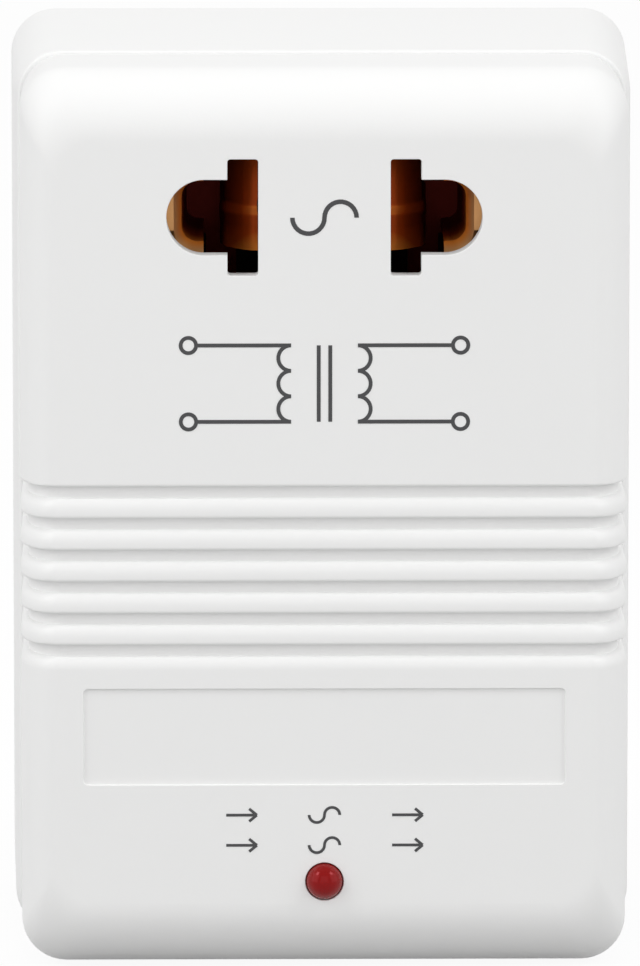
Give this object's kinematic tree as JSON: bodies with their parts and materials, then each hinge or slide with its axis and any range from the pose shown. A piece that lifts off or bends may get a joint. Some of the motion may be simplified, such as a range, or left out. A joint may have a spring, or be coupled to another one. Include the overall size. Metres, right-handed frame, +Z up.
{
  "type": "travel voltage converter",
  "caption": "Plug-in travel voltage converter: white two-part case, socket for blades or round pins on its face, red lamp, and folding round-pin and flat-blade plugs in its back.",
  "frame": {"origin": "on the flat base, under the middle of the case's width and depth", "axes": "+X to the right seen from the socket side, +Y towards the back where the plugs are, +Z up"},
  "size_m": [0.05, 0.0616, 0.072],
  "materials": {
    "white_case": "satin moulded",
    "nylon": "matt moulded",
    "phenolic": "dark pressed resin",
    "red_lamp": "clear red dome",
    "contact_bronze": "pressed strip",
    "nickel": "nickel plated",
    "tinned_lead": "tinned",
    "screw_steel": "zinc plated",
    "core_steel": "varnished laminations",
    "copper_wire": "enamelled wire",
    "yellow_tape": "polyester tape",
    "fish_paper": "pressed paper",
    "board": "paper laminate",
    "resistor_body": "lacquered",
    "fuse_body": "moulded",
    "red_wire": "vinyl",
    "black_wire": "vinyl",
    "blue_wire": "vinyl",
    "white_wire": "vinyl"
  },
  "bodies": {
    "case": {"front_shell": "white_case", "rear_casing": "white_case", "case_screws": "screw_steel", "indicator_lamp": "red_lamp", "lamp_leads": "tinned_lead", "lamp_board": "board", "lamp_resistor": "resistor_body", "lamp_wires": "red_wire", "socket_contact_left": "contact_bronze", "socket_contact_right": "contact_bronze", "contact_carrier": "phenolic", "carrier_screws": "screw_steel", "socket_wires": "black_wire", "round_pin_leaf_left": "contact_bronze", "round_pin_leaf_right": "contact_bronze", "round_pin_wires": "blue_wire", "blade_leaf_left": "contact_bronze", "blade_leaf_right": "contact_bronze", "blade_wires": "white_wire", "core_e_stack": "core_steel", "core_i_stack": "core_steel", "coil_bobbin": "nylon", "inner_winding": "copper_wire", "interlayer_tape": "yellow_tape", "outer_winding": "copper_wire", "outer_tape": "yellow_tape", "insulation_sheet": "fish_paper", "terminal_pins": "tinned_lead", "thermal_fuse": "fuse_body"},
    "round_plug": {"round_pin_carriage": "white_case", "round_pin_left": "nickel", "round_pin_right": "nickel", "round_pin_axles": "screw_steel"},
    "blade_plug": {"blade_carriage": "white_case", "blade_left": "nickel", "blade_right": "nickel", "blade_axles": "screw_steel"}
  },
  "joints": [
    {"name": "round_pin_fold", "type": "hinge", "parent": "case", "child": "round_plug", "pos_m": [0, 0.0176, 0.0615], "axis": [-1, 0, 0], "range_deg": [0, 90]},
    {"name": "blade_fold", "type": "hinge", "parent": "case", "child": "blade_plug", "pos_m": [0, 0.0176, 0.01], "axis": [-1, 0, 0], "range_deg": [0, 90]}
  ]
}
